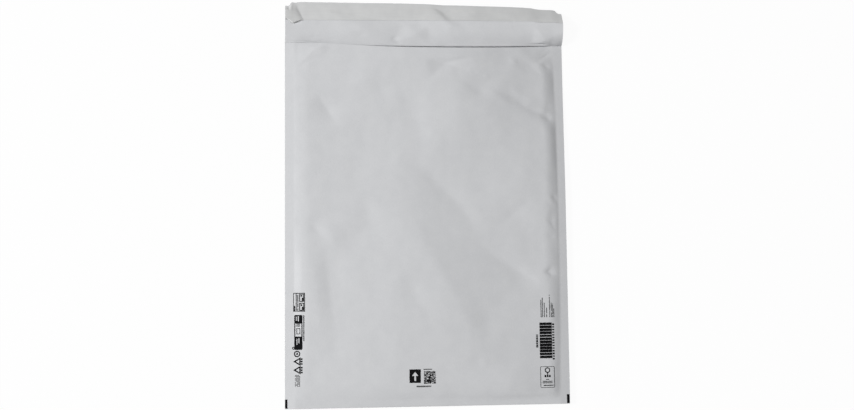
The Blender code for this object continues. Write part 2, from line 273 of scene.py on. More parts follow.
FRONT_FACETS = (
    # the pointed dent under the mouth
    Facet(
        ((0.0003, 0.3610), (0.0029, 0.3390), (0.0560, 0.3440), (0.0480, 0.3640)),
        (0.0205, 0.3565), -0.0017,
    ),
    # the raised corner at the top left
    Facet(
        ((-0.134, 0.3725), (-0.134, 0.3480), (-0.104, 0.3620), (-0.098, 0.3725)),
        (-0.1120, 0.3680), 0.0009,
    ),
    # the start of the long wrinkle, and the gathered corner above it
    Facet(
        ((0.066, 0.329), (0.085, 0.311), (0.106, 0.306), (0.110, 0.316), (0.086, 0.330)),
        (0.091, 0.319), -0.0009,
    ),
    Facet(
        ((0.087, 0.356), (0.104, 0.344), (0.122, 0.342), (0.118, 0.356), (0.100, 0.364)),
        (0.110, 0.352), -0.0005,
    ),
    # two dents at the right rim
    Facet(
        ((0.1215, 0.1900), (0.1300, 0.2040), (0.1355, 0.1960), (0.1330, 0.1770)),
        (0.1290, 0.1860), -0.0005,
    ),
    Facet(
        ((0.1185, 0.1350), (0.1290, 0.1420), (0.1345, 0.1350), (0.1300, 0.1290)),
        (0.1245, 0.1352), -0.0009,
    ),
)

# Pleats along the rim: place along the paper, how far in they pull the slope, and their reach
PLEAT_REACH = 0.006
RIGHT_PLEATS = ((0.3650, 0.004, 0.005), (0.2985, 0.005, 0.008), (0.2040, 0.004, 0.007))
RIGHT_PLEATS += ((0.1720, 0.005, 0.004), (0.1350, 0.006, 0.005), (0.1600, 0.003, 0.030))
LEFT_PLEATS = ((0.1885, 0.005, 0.006), (0.2500, 0.002, 0.004))

FLAP_FOLDS = (
    # left: a nick, two creases by the mouth and one under the lifted end of the strip
    Fold(-0.0660, 0.0150, -0.0640, 0.0090, -0.0004, 0.002, 0.003, 0.0003),
    Fold(-0.1460, 0.0046, -0.0870, 0.0047, -0.0005, 0.0007, 0.0009, 0.0002),
    Fold(-0.1460, 0.0018, -0.1150, 0.0016, -0.0005, 0.0007, 0.0007, 0.0002),
    Fold(-0.1420, 0.0235, -0.1270, 0.0262, -0.0010, 0.0014, 0.0014, 0.0003, 0.4),
    # the hook below the light patch
    Fold(-0.0300, 0.0120, -0.0330, 0.0050, -0.0006, 0.0014, 0.0014, 0.0002),
    Fold(-0.0330, 0.0058, -0.0230, 0.0036, -0.0005, 0.0012, 0.0012, 0.0002),
    # right: a crease below the light triangle
    Fold(0.1060, 0.0034, 0.1320, 0.0034, -0.0005, 0.0007, 0.0009, 0.0002),
)

FLAP_FACETS = (
    # left: light up to an edge that runs down from the strip, shaded beyond it
    Facet(
        ((-0.118, 0.003), (-0.104, 0.038), (-0.066, 0.031), (-0.024, 0.0215), (-0.033, 0.004)),
        (-0.0645, 0.018), 0.0014,
    ),
    # the light patch above the hook
    Facet(((-0.031, 0.004), (-0.021, 0.0230), (0.004, 0.0215), (0.004, 0.003)), (-0.0095, 0.0130), 0.0010),
    # middle: an edge from the end of the flap, and the pit on its right
    Facet(
        ((-0.012, 0.026), (0.000, 0.041), (0.064, 0.038), (0.112, 0.018), (0.100, 0.003), (0.020, 0.004)),
        (0.027, 0.0215), 0.0018,
    ),
    Facet(
        ((0.007, 0.0440), (0.028, 0.0205), (0.050, 0.0125), (0.048, 0.028), (0.038, 0.0440)),
        (0.0205, 0.036), -0.0010,
    ),
    # right: the light triangle
    Facet(((0.112, 0.0030), (0.116, 0.0215), (0.1445, 0.016), (0.1445, 0.001)), (0.127, 0.0080), 0.0010),
)

# Slow unevenness of the paper: size of the waves, their height, and the layers of the pattern
CLOUD_SCALE = 0.021
CLOUD_HEIGHT = 0.00022
RIPPLE_SCALE = 0.0085
RIPPLE_HEIGHT = 0.00006
NOISE_SHIFT = 3.7
FRONT_LAYER = 0.0
FLAP_LAYER = 5.0
BACK_LAYER = 9.0


def ease(share):
    """0 to 1 with no slope at either end."""
    share = np.clip(share, 0.0, 1.0)
    return share * share * (3 - 2 * share)


def ramp(distance, run, rounding):
    """A straight slope over run that rounds off to level over rounding: 0 to 1."""
    distance = np.maximum(distance, 0.0)
    past = np.clip(distance - run, 0.0, rounding)
    height = np.minimum(distance, run) + past - past**2 / (2 * rounding)
    return height / (run + rounding / 2)


def pulled(pleats, along):
    """How far inwards the pleats pull the slope at a place along the seam."""
    return sum(depth * np.exp(-np.abs(along - place) / reach) for place, depth, reach in pleats)


def right_top(along):
    """0 down the lower right side, growing to 1 towards the mouth."""
    return ease((along - RIGHT_TOP_START) / RIGHT_TOP_REACH)


def right_foot(along):
    """Where the slope on the right ends. Half way up, the padding reaches further out."""
    return RIGHT_SLOPE_X + RIGHT_BULGE * 4 * (along / LENGTH) * (1 - along / LENGTH)


def side_lift(x, along):
    left = ramp(x - LEFT_SLOPE_X, LEFT_RUN + pulled(LEFT_PLEATS, along), LEFT_ROUND)
    right = ramp(right_foot(along) - x, RIGHT_RUN + pulled(RIGHT_PLEATS, along), RIGHT_ROUND)
    return np.minimum(left, right)


def fold_lift(along):
    """The rise away from the bottom fold: gently over the bare paper strip, then up the film."""
    strip = FOLD_STRIP_RISE * np.clip(along / FOLD_STRIP, 0.0, 1.0)
    return strip + (1 - FOLD_STRIP_RISE) * ramp(along - FOLD_STRIP, FOLD_RUN, FOLD_ROUND)


def corner_lift(x, along):
    """The panels pinch together across the two corners of the mouth."""
    reach = np.where(x < 0, CORNER_PINCH_LEFT, CORNER_PINCH_RIGHT)
    return ramp(CORNER_LIFT + (SEAL_X - np.abs(x) + LENGTH - along) / reach, CORNER_RUN, CORNER_ROUND)


def lift(x, along):
    """0 where the panels are held together, 1 where the padding is at its full height."""
    return side_lift(x, along) * fold_lift(along) * corner_lift(x, along)


def middle(x, along):
    """Height of the plane between the two panels along the seams."""
    outer = np.maximum(0.0, np.abs(x) - SEAL_X) / (HALF_WIDTH - SEAL_X)
    side = ease((x + HALF_WIDTH) / (2 * HALF_WIDTH))
    rise = LEFT_SEAM_RISE * (1 - side) + (RIGHT_SEAM_RISE - RIGHT_TOP_DIP * right_top(along)) * side
    return SEAL_LEVEL + rise - SEAL_DROOP * outer


def fold_relief(folds, x, along):
    """Height that a list of folds adds at points of the paper."""
    total = np.zeros_like(x)
    for fold in folds:
        run = np.array((fold.x_end - fold.x, fold.along_end - fold.along))
        length = math.hypot(*run)
        unit = run / length
        share = ((x - fold.x) * unit[0] + (along - fold.along) * unit[1]) / length
        across = (x - fold.x) * unit[1] - (along - fold.along) * unit[0]
        across = across - fold.bend * 4 * share * (1 - share)
        taper = np.where(share < fold.peak, ease(share / fold.peak), ease((1 - share) / (1 - fold.peak)))
        width = np.where(across < 0, fold.left, fold.right)
        away = np.sqrt(across**2 + fold.round**2) - fold.round
        total += fold.height * taper * np.exp(-away / width)
    return total


def swell_relief(swells, x, along):
    """Height that a list of swells adds at points of the paper."""
    total = np.zeros_like(x)
    for swell in swells:
        turn = math.radians(swell.turn)
        right = (x - swell.x) * math.cos(turn) + (along - swell.along) * math.sin(turn)
        up = (along - swell.along) * math.cos(turn) - (x - swell.x) * math.sin(turn)
        total += swell.height * np.exp(-((right / swell.long_radius) ** 2 + (up / swell.short_radius) ** 2))
    return total


def facet_relief(facets, x, along):
    """Height that a list of facets adds at points of the paper."""
    total = np.zeros_like(x)
    for facet in facets:
        share = np.ones_like(x)
        for start, end in zip(facet.outline, facet.outline[1:] + facet.outline[:1]):
            side_x, side_along = end[0] - start[0], end[1] - start[1]
            inside = (x - start[0]) * side_along - (along - start[1]) * side_x
            at_tip = (facet.tip[0] - start[0]) * side_along - (facet.tip[1] - start[1]) * side_x
            share = np.minimum(share, inside / at_tip)
        total += facet.height * np.maximum(share, 0.0)
    return total


def uneven(x, along, layer):
    """Slow random unevenness. layer keeps the front, the back and the flap apart."""
    flat = np.empty(x.size)
    for i, (px, py) in enumerate(zip(x.ravel(), along.ravel())):
        cloud = noise.noise(Vector((px / CLOUD_SCALE, py / CLOUD_SCALE, layer)))
        ripple = noise.noise(Vector((px / RIPPLE_SCALE, py / RIPPLE_SCALE, layer + NOISE_SHIFT)))
        flat[i] = CLOUD_HEIGHT * cloud + RIPPLE_HEIGHT * ripple
    return flat.reshape(x.shape)


def fall(x, along):
    """How much lower the front panel is towards its rim than at its crown."""
    end = np.minimum(along, LENGTH - along)
    total = LEFT_FALL * (1 - ease((x - LEFT_SLOPE_X) / CROWN_REACH))
    right = RIGHT_FALL + RIGHT_TOP_FALL * right_top(along)
    total = total + right * (1 - ease((RIGHT_SLOPE_X - x) / CROWN_REACH))
    return total + END_FALL * (1 - ease(end / CROWN_REACH))


def front_relief(x, along):
    """Creases and dents of the front panel, none of them in the seams or the bottom strip."""
    deepest = -RELIEF_SHARE * lift(x, along) * CROWN
    held = np.minimum(1.0, RELIEF_SPREAD * side_lift(x, along))
    held = held * ease((along - FOLD_STRIP / 2) / FOLD_STRIP)
    shape = fold_relief(FRONT_FOLDS, x, along) + swell_relief(FRONT_SWELLS, x, along)
    shape = np.maximum(shape + facet_relief(FRONT_FACETS, x, along), deepest)
    return held * (shape + uneven(x, along, FRONT_LAYER)) - fall(x, along) * lift(x, along)


def mouth_bow(x):
    """How far the puffed panels draw the mouth line back, most of all in the middle."""
    return MOUTH_BOW * np.maximum(0.0, 1 - ((x - MOUTH_BOW_MIDDLE) / MOUTH_BOW_HALF) ** 2)


def front_points(x, along, inset=0.0):
    """Points of the front panel, inset metres below its outer face."""
    x, along = np.broadcast_arrays(x, along)
    height = middle(x, along) + SEAM_HALF
    height = height + lift(x, along) * (CROWN - height) + front_relief(x, along) - inset
    bow = mouth_bow(x) * ease(1 - (LENGTH - along) / MOUTH_BOW_REACH)
    return np.stack((x, FOLD_Y + along - bow, height), -1)


def back_points(x, along, inset=0.0):
    """Points of the back panel, inset metres above its outer face, which rests on the floor."""
    x, along = np.broadcast_arrays(x, along)
    raised = lift(x, along)
    height = (middle(x, along) - SEAM_HALF) * (1 - raised)
    height = height + raised * np.abs(uneven(x, along, BACK_LAYER)) + inset
    bow = BACK_BOW_SHARE * mouth_bow(x) * ease(1 - (LENGTH - along) / BACK_BOW_REACH)
    return np.stack((x, FOLD_Y + along - bow, height), -1)


def fold_points(x, angle):
    """Points round the bottom fold: angle 0 meets the front panel, and pi the back."""
    y = np.full_like(x, FOLD_Y + SEAM_HALF - SEAM_HALF * math.sin(angle))
    return np.stack((x, y, middle(x, SEAM_HALF) + SEAM_HALF * math.cos(angle)), -1)


def notch(x):
    """How much of the flap's end the corner notch takes away."""
    return NOTCH_DEPTH * (1 - ease((HALF_WIDTH - np.abs(x) - NOTCH_FLAT) / NOTCH_SLOPE))


def flap_heights(x, out):
    """Height of the flap's underside at a length out from the mouth line."""
    across = ((x + HALF_WIDTH) / (2 * HALF_WIDTH)) ** FLAP_CURL_SPREAD
    level = FLAP_LEVEL_LEFT + (FLAP_LEVEL_RIGHT - FLAP_LEVEL_LEFT) * across
    arch = FLAP_ARCH_LEFT + (FLAP_ARCH_RIGHT - FLAP_ARCH_LEFT) * across
    root = back_points(x, LENGTH)[..., 2]
    share = np.clip(out / STRIP_START, 0.0, 1.0)
    rise = root * (1 - share) ** 3 + level * share + arch * np.sin(math.pi * share)
    ridge = MOUTH_RIDGE * lift(x, np.full_like(x, LENGTH)) * (1 - np.exp(-out / MOUTH_RIDGE_RISE))
    rise = rise + ridge * np.exp(-out / MOUTH_RIDGE_REACH) * (1 - share)
    down = level + (FLAP_EDGE_LEVEL - level) * (out - STRIP_START) / (FLAP - STRIP_START)
    relief = fold_relief(FLAP_FOLDS, x, out) + facet_relief(FLAP_FACETS, x, out) + uneven(x, out, FLAP_LAYER)
    held = ease(out / FLAP_ROOT_HOLD) * ease((FLAP - out) / FLAP_END_HOLD)
    return np.maximum(np.where(out < STRIP_START, rise, down) + held * relief, FLAP_EDGE_LEVEL * held)


def flap_points(columns, outs, above=0.0):
    """A grid of points of the flap, one row for each length out. The paper keeps its length."""
    samples = np.linspace(0.0, FLAP, FLAP_SAMPLES)
    x, out = np.meshgrid(columns, samples)
    heights = flap_heights(x, out)
    advance = np.sqrt(np.maximum(samples[1] ** 2 - np.diff(heights, axis=0) ** 2, 0.0))
    reach = np.vstack((np.zeros(len(columns)), np.cumsum(advance, axis=0)))
    points = np.empty((len(outs), len(columns), 3))
    for c, column in enumerate(columns):
        cut = outs - notch(column) * np.maximum(0.0, outs - STRIP_START) / (FLAP - STRIP_START)
        bow = BACK_BOW_SHARE * mouth_bow(column) * (1 - ease(outs / STRIP_START))
        points[:, c, 0] = column
        points[:, c, 1] = FOLD_Y + LENGTH + np.interp(cut, samples, reach[:, c]) - bow
        points[:, c, 2] = np.interp(cut, samples, heights[:, c]) + above
    return points


def stations(keys, steps):
    """Stations through the keys, no further apart than the step of each stretch."""
    result = [keys[0]]
    for start, end, step in zip(keys, keys[1:], steps):
        count = max(1, math.ceil((end - start) / step - TINY))
        result += [start + (end - start) * (i + 1) / count for i in range(count)]
    return np.array(result)


def side_columns(edge, fine, coarse):
    """Stations across a panel, fine on both slopes and over their pleats."""
    left_top = LEFT_SLOPE_X + LEFT_RUN + LEFT_ROUND + PLEAT_REACH
    right_top_x = RIGHT_SLOPE_X - RIGHT_RUN - RIGHT_ROUND - PLEAT_REACH
    keys = [-edge, LEFT_SLOPE_X, LEFT_SLOPE_X + LEFT_RUN, left_top + fine * LEFT_FINE_EXTRA, right_top_x]
    keys += [RIGHT_SLOPE_X - RIGHT_RUN, RIGHT_SLOPE_X + RIGHT_BULGE, edge]
    return stations(keys, [fine, fine, fine, coarse, fine, fine, fine])


def panel_rows(start, end, fine, coarse):
    """Stations up a panel from the fold to the mouth."""
    slope_end = FOLD_STRIP + FOLD_RUN + FOLD_ROUND
    keys = [start, FOLD_STRIP + start / 2, FOLD_STRIP + FOLD_RUN, slope_end]
    keys += [LENGTH - CORNER_PINCH_LEFT, end]
    return stations(keys, [fine, fine, fine, coarse, fine])


def add_object(name, data):
    obj = bpy.data.objects.new(name, data)
    bpy.context.scene.collection.objects.link(obj)
    return obj


def grid_object(name, points):
    """A sheet of quads over a grid of points, (row, column, xyz), facing up where rows run down."""
    rows, columns = points.shape[:2]
    index = np.arange(rows * columns).reshape(rows, columns)
    corners = (index[:-1, :-1], index[1:, :-1], index[1:, 1:], index[:-1, 1:])
    faces = np.stack([corner.ravel() for corner in corners], 1)
    mesh = bpy.data.meshes.new(name)
    mesh.from_pydata(points.reshape(-1, 3).tolist(), [], faces.tolist())
    return add_object(name, mesh)


def evaluated_mesh(obj):
    """A new mesh of what an object and its modifiers make."""
    depsgraph = bpy.context.evaluated_depsgraph_get()
    return bpy.data.meshes.new_from_object(obj.evaluated_get(depsgraph))


def bake(obj):
    """Replaces an object's mesh by what its modifiers make of it."""
    old = obj.data
    obj.data = evaluated_mesh(obj)
    obj.data.name = obj.name
    obj.modifiers.clear()
    bpy.data.meshes.remove(old)
    return obj


def thicken(obj, thickness, offset=-1.0):
    modifier = obj.modifiers.new("thickness", "SOLIDIFY")
    modifier.thickness = thickness
    modifier.offset = offset
    return bake(obj)


def smooth(obj, sharp_degrees):
    obj.data.shade_smooth()
    obj.data.set_sharp_from_angle(angle=math.radians(sharp_degrees))
    return obj


def dress(obj, material):
    obj.data.materials.clear()
    obj.data.materials.append(material)
    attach(obj, "root")


class Graph:
    """A short way to add and wire nodes."""

    def __init__(self, tree):
        self.tree = tree

    def feed(self, socket, value):
        """Links a socket to another one, or sets its value."""
        if isinstance(value, bpy.types.NodeSocket):
            self.tree.links.new(value, socket)
        else:
            socket.default_value = value

    def add(self, kind, *sources, **values):
        """Adds a node. Values in lower case are its settings, and the others feed its inputs."""
        node = self.tree.nodes.new(kind)
        for key, value in values.items():
            if key.islower():
                setattr(node, key, value)
            else:
                self.feed(node.inputs[key.replace("_", " ")], value)
        for socket, source in zip(node.inputs, sources):
            self.feed(socket, source)
        return node

    def out(self, kind, *sources, **values):
        """Adds a node and gives its first output."""
        return self.add(kind, *sources, **values).outputs[0]

    def math(self, operation, *values):
        return self.out("ShaderNodeMath", *values, operation=operation)

    def vector(self, *values):
        return self.out("ShaderNodeCombineXYZ", *values)


class Finish(Graph):
    """A material whose patterns lie in the piece's own coordinates."""

    def __init__(self, name):
        self.material = bpy.data.materials.new(name)
        self.material.use_nodes = True
        super().__init__(self.material.node_tree)
        self.shader = self.tree.nodes["Principled BSDF"]
        self.place = self.add("ShaderNodeTexCoord").outputs["Object"]

    def noise(self, scale, detail, stretch=(1.0, 1.0, 1.0)):
        place = self.out("ShaderNodeMapping", Vector=self.place, Scale=stretch)
        return self.add("ShaderNodeTexNoise", Vector=place, Scale=scale, Detail=detail).outputs["Fac"]

    def ramp(self, source, low, high, first, last):
        """Spreads source from low..high over two colours."""
        node = self.add("ShaderNodeValToRGB", Fac=source)
        for element, position, colour in zip(node.color_ramp.elements, (low, high), (first, last)):
            element.position = position
            element.color = (*colour, 1.0)
        return node.outputs["Color"]

    def tone(self, source, first, last, low=0.3, high=0.7):
        """Spreads source from low..high over two greys."""
        return self.ramp(source, low, high, (first,) * 3, (last,) * 3)

    def multiply(self, first, second):
        node = self.add("ShaderNodeMix", data_type="RGBA", blend_type="MULTIPLY")
        for place, value in ((0, 1.0), (6, first), (7, second)):
            self.feed(node.inputs[place], value)
        return node.outputs[2]

    def bump(self, height, distance, strength, under=None):
        node = self.add("ShaderNodeBump", Height=height, Distance=distance, Strength=strength)
        if under is not None:
            self.feed(node.inputs["Normal"], under)
        return node.outputs["Normal"]

    def finish(self, colour, roughness, normal, **values):
        """Wires the shader, and sets on its own sockets what is the same all over."""
        self.feed(self.shader.inputs["Base Color"], colour)
        self.feed(self.shader.inputs["Roughness"], roughness)
        self.feed(self.shader.inputs["Normal"], normal)
        for name, value in values.items():
            self.shader.inputs[name.replace("_", " ")].default_value = value
        return self.material


def white_paper():
    """Bleached kraft: long fibres, a cloudy formation that shows against the light, few specks."""
    nodes = Finish("white_paper")
    cloud = nodes.noise(95.0, 5.0)
    fibre = nodes.noise(1500.0, 4.0, (1.0, 0.35, 1.0))
    felt = nodes.noise(420.0, 3.0, (0.5, 1.0, 1.0))
    speck = nodes.noise(900.0, 1.0)
    colour = nodes.ramp(cloud, 0.35, 0.65, (0.606, 0.613, 0.628), (0.622, 0.628, 0.642))
    colour = nodes.multiply(colour, nodes.tone(fibre, 0.955, 1.0))
    colour = nodes.multiply(colour, nodes.tone(speck, 0.90, 1.0, 0.22, 0.27))
    grain = nodes.bump(felt, 0.00009, 0.5, nodes.bump(fibre, 0.00004, 0.6))
    return nodes.finish(colour, nodes.tone(felt, 0.66, 0.78), grain, Specular_IOR_Level=0.25)


def release_paper():
    """Siliconed paper: denser, warmer and smoother than the kraft, with fine streaks along it."""
    nodes = Finish("release_paper")
    cloud = nodes.noise(120.0, 4.0)
    streak = nodes.noise(700.0, 3.0, (0.08, 1.0, 1.0))
    colour = nodes.ramp(cloud, 0.35, 0.65, (0.594, 0.599, 0.600), (0.620, 0.625, 0.624))
    colour = nodes.multiply(colour, nodes.tone(streak, 0.965, 1.0))
    grain = nodes.bump(streak, 0.00003, 0.4)
    return nodes.finish(colour, nodes.tone(cloud, 0.56, 0.66), grain, Specular_IOR_Level=0.28)


def bubble_film():
    """Clear polythene, a little milky, with faint drawn streaks and a soft haze."""
    nodes = Finish("bubble_film")
    haze = nodes.noise(160.0, 3.0)
    streak = nodes.noise(600.0, 2.0, (1.0, 0.1, 1.0))
    colour = nodes.ramp(haze, 0.3, 0.7, (0.78, 0.80, 0.82), (0.86, 0.88, 0.89))
    grain = nodes.bump(haze, 0.00015, 0.5)
    return nodes.finish(colour, nodes.tone(streak, 0.14, 0.26), grain, Transmission_Weight=0.45, IOR=1.35)


def seal_glue():
    """Pressure-sensitive hot melt: yellowish, wet-looking, with the ribs of its coating die."""
    nodes = Finish("seal_glue")
    blotch = nodes.noise(200.0, 3.0)
    rib = nodes.noise(900.0, 1.0, (0.05, 1.0, 1.0))
    colour = nodes.ramp(blotch, 0.3, 0.7, (0.70, 0.66, 0.53), (0.78, 0.74, 0.61))
    return nodes.finish(colour, nodes.tone(blotch, 0.20, 0.34), nodes.bump(rib, 0.0001, 0.6))


def print_ink():
    """Black flexographic ink that leaves a few fibres of the paper bare."""
    nodes = Finish("print_ink")
    fibre = nodes.noise(1900.0, 3.0, (1.0, 0.4, 1.0))
    wear = nodes.noise(260.0, 2.0)
    bare = nodes.ramp(fibre, 0.72, 0.85, (0.005, 0.005, 0.006), (0.12, 0.12, 0.125))
    colour = nodes.multiply(bare, nodes.tone(wear, 0.75, 1.0))
    grain = nodes.bump(fibre, 0.00003, 0.5)
    return nodes.finish(colour, nodes.tone(fibre, 0.70, 0.82), grain, Specular_IOR_Level=0.10)


def build_paper(material):
    """One sheet: down the front panel, round the bottom fold, up the back and out to the flap."""
    columns = side_columns(HALF_WIDTH, FINE, COARSE)
    front_rows = panel_rows(SEAM_HALF, LENGTH, FINE, PANEL_STEP)[::-1]
    back_rows = panel_rows(SEAM_HALF, LENGTH, FINE * 2, BACK_STEP)
    keys = [0.0, FLAP_ROOT, FLAP_BEND, STRIP_START, FLAP]
    outs = stations(keys, [FLAP_STEP / 3, FLAP_STEP / 2, FLAP_STEP, FLAP_STEP])[1:]
    x, along = np.meshgrid(columns, front_rows)
    grid = [front_points(x, along)]
    angles = [math.pi * i / FOLD_FACETS for i in range(1, FOLD_FACETS)]
    grid.append(np.stack([fold_points(columns, angle) for angle in angles]))
    x, along = np.meshgrid(columns, back_rows)
    grid.append(back_points(x, along))
    grid.append(flap_points(columns, outs))
    sheet = grid_object("paper_sheet", np.concatenate(grid))
    smooth(thicken(sheet, PAPER), SHEET_SHARP)
    dress(sheet, material)
    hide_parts("outer_paper")
    return sheet


def film_inset(x, along):
    """Depth of the film's outer face below the paper's. Creases press it down a little more."""
    pressed = np.maximum(0.0, -fold_relief(FRONT_FOLDS, x, along))
    return PAPER + FILM_GAP + (FILM_SLACK + pressed / 2) * lift(x, along)


def build_pouch(material):
    """The flat web of the bubble film, folded above the bottom strip and open at the mouth."""
    start = FOLD_STRIP + (SEAM_HALF - PAPER - FILM_GAP)
    slope = FOLD_STRIP + FOLD_RUN
    columns = side_columns(HALF_WIDTH - FILM_EDGE, FILM_STEP, FILM_STEP)
    keys = [start, slope, slope + FOLD_ROUND, LENGTH - FILM_MOUTH_GAP]
    rows = stations(keys, [FILM_STEP / 2, FILM_STEP / 2, FILM_STEP])
    x, along = np.meshgrid(columns, rows[::-1])
    grid = [front_points(x, along, film_inset(x, along))]
    x, along = np.meshgrid(columns, rows)
    grid.append(back_points(x, along, film_inset(x, along)))
    pouch = grid_object("film_pouch", np.concatenate(grid))
    smooth(thicken(pouch, FILM), SHEET_SHARP)
    dress(pouch, material)
    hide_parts("bubble_liner")
    return pouch


class Repeat(Graph):
    """A Geometry Nodes tree with named inputs, the last of which is its material."""

    def __init__(self, name, sockets):
        super().__init__(bpy.data.node_groups.new(name, "GeometryNodeTree"))
        face = self.tree.interface
        face.new_socket("Geometry", in_out="OUTPUT", socket_type="NodeSocketGeometry")
        for label, kind, value in (("Geometry", "Geometry", None), *sockets, ("Material", "Material", None)):
            socket = face.new_socket(label, in_out="INPUT", socket_type="NodeSocket" + kind)
            if value is not None:
                socket.default_value = value
        self.source = self.add("NodeGroupInput").outputs

    def end(self, instances):
        """Makes the instances real and gives them the material that the input names."""
        real = self.out("GeometryNodeRealizeInstances", instances)
        coated = self.out("GeometryNodeSetMaterial", Geometry=real, Material=self.source["Material"])
        self.add("NodeGroupOutput", coated)
        return self.tree


def run_tree(obj, tree, **values):
    """Gives an object a tree, and sets its inputs by the identifiers of their sockets."""
    modifier = obj.modifiers.new(tree.name, "NODES")
    modifier.node_group = tree
    for item in tree.interface.items_tree:
        key = item.name.replace(" ", "_").lower()
        if item.item_type == "SOCKET" and item.in_out == "INPUT" and key in values:
            modifier[item.identifier] = values[key]


def bubble_tree():
    """A dome with a flat base on every point of a flat lattice, squashed by an attribute."""
    nodes = Repeat("bubbles", [("Radius", "Float", BUBBLE_RADIUS), ("Height", "Float", BUBBLE_HEIGHT)])
    radius, height = nodes.source["Radius"], nodes.source["Height"]
    ball = nodes.out("GeometryNodeMeshUVSphere", Segments=BUBBLE_SIDES, Rings=BUBBLE_RINGS, Radius=radius)
    place = nodes.add("ShaderNodeSeparateXYZ", nodes.out("GeometryNodeInputPosition")).outputs
    share = nodes.math("MAXIMUM", nodes.math("DIVIDE", place[2], radius), 0.0)
    rise = nodes.math("MULTIPLY", nodes.math("POWER", share, BUBBLE_FULLNESS), height)
    spot = nodes.vector(place[0], place[1], rise)
    dome = nodes.out("GeometryNodeSetPosition", Geometry=ball, Position=spot)
    squash = nodes.out("GeometryNodeInputNamedAttribute", data_type="FLOAT", Name="squash")
    copies = nodes.out(
        "GeometryNodeInstanceOnPoints",
        Points=nodes.source["Geometry"], Instance=dome, Scale=nodes.vector(1.0, 1.0, squash),
    )
    return nodes.end(copies)


def bubble_places():
    """A triangular lattice of (x, along), and how far each pair of bubbles can rise, 0 to 1."""
    row_step = BUBBLE_PITCH * math.sqrt(3) / 2
    rows = np.arange(FOLD_STRIP + BUBBLE_RADIUS, LENGTH - BUBBLE_MOUTH_GAP, row_step)
    half_count = int(HALF_WIDTH / BUBBLE_PITCH) + 1
    places = []
    for r, along in enumerate(rows):
        shift = BUBBLE_PITCH / 2 * (r % 2)
        places += [(i * BUBBLE_PITCH + shift, along) for i in range(-half_count, half_count)]
    places = np.array(places)
    x, along = places[:, 0], places[:, 1]
    inset = film_inset(x, along)
    room = np.full(len(x), 1.0)
    for dx, dy in ((0, 0), (1, 0), (-1, 0), (0, 1), (0, -1)):
        px = np.clip(x + dx * BUBBLE_RADIUS, -HALF_WIDTH, HALF_WIDTH)
        py = along + dy * BUBBLE_RADIUS
        between = front_points(px, py, inset)[:, 2] - back_points(px, py, inset)[:, 2]
        room = np.minimum(room, between)
    rise = np.clip((room / 2 - BUBBLE_CLEARANCE) / BUBBLE_HEIGHT, 0.0, 1.0)
    kept = rise > BUBBLE_LEAST_RISE
    return places[kept], rise[kept]


def build_bubbles(material):
    """The formed web: bubbles on the pocket side of both walls."""
    places, rise = bubble_places()
    flat = bpy.data.meshes.new("bubbles")
    flat.from_pydata(np.column_stack((places, np.zeros(len(places)))).tolist(), [], [])
    flat.attributes.new("squash", "FLOAT", "POINT").data.foreach_set("value", rise)
    bubbles = add_object("bubbles", flat)
    run_tree(bubbles, bubble_tree(), radius=BUBBLE_RADIUS, height=BUBBLE_HEIGHT, material=material)
    bake(bubbles)
    spots = np.array([vertex.co[:] for vertex in bubbles.data.vertices])
    x, along, depth = spots[:, 0], spots[:, 1], spots[:, 2]
    base = film_inset(x, along) + FILM * BUBBLE_SINK + depth
    both = bmesh.new()
    for surface, turned in ((front_points, True), (back_points, False)):
        wall = bmesh.new()
        wall.from_mesh(bubbles.data)
        for vertex, point in zip(wall.verts, surface(x, along, base)):
            vertex.co = point
        if turned:
            bmesh.ops.reverse_faces(wall, faces=wall.faces)
        half = bpy.data.meshes.new("wall")
        wall.to_mesh(half)
        wall.free()
        both.from_mesh(half)
        bpy.data.meshes.remove(half)
    both.to_mesh(bubbles.data)
    both.free()
    smooth(bubbles, SMALL_SHARP)
    dress(bubbles, material)
    return bubbles


def strip_columns():
    """Stations along the strips, fine at the lifted end."""
    edge = HALF_WIDTH - STRIP_EDGE
    return stations([-edge, STRIP_FINE_END, edge], [STRIP_FINE_STEP, COARSE])


def strip_rows():
    """Stations across the strips, fine at the edge that stands up."""
    keys = [STRIP_START, STRIP_START + STRIP_FINE_ROWS, FLAP - RELEASE_INSET]
    return stations(keys, [FLAP_STEP / 3, FLAP_STEP])


def strip_object(name, columns, outs, level, thickness, shape=None):
    """A thin strip on the flap. shape moves its grid of points."""
    points = flap_points(columns, outs, PAPER + level + thickness)
    if shape is not None:
        points = shape(points, outs)
    return smooth(thicken(grid_object(name, points), thickness), SMALL_SHARP)


def build_adhesive(material):
    """The adhesive, on the same rows and columns as the release strip so that it stays below it."""
    end = FLAP - ADHESIVE_INSET
    outs = strip_rows()
    outs = outs[(outs > end - ADHESIVE_WIDTH) & (outs < end)]
    strip = strip_object("seal_strip", strip_columns()[1:-1], outs, LAYER_SLIP, ADHESIVE_THICK)
    dress(strip, material)
    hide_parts("seal_adhesive")


def peel(points, outs):
    """The left end of the strip stands up in a pointed fold and hangs a little over its edge."""
    x = points[..., 0]
    out = np.broadcast_to(outs[:, None], x.shape)
    line = PEEL_X + PEEL_LEAN * (out - PEEL_OUT)
    inside = 1 - np.exp(-np.maximum(0.0, line - x) / PEEL_RUN)
    held = ease((FLAP - out) / PEEL_FADE)
    edge = ease((out - STRIP_START) / PEEL_LIP) * held
    tab = ease((PEEL_END_X - x) / PEEL_TAB)
    shift = np.clip((PEEL_X - x) / (PEEL_X - PEEL_END_X), 0.0, 1.0) * (1 - tab) * held
    moved = points.copy()
    moved[..., 2] += PEEL_HEIGHT * inside * edge
    moved[..., 1] -= PEEL_SHIFT * shift
    return moved


def build_release(material):
    """The release strip, which covers the adhesive."""
    level = 2 * LAYER_SLIP + ADHESIVE_THICK
    strip = strip_object("release_strip", strip_columns(), strip_rows(), level, RELEASE_THICK, peel)
    dress(strip, material)
    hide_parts("release_liner")
    return strip


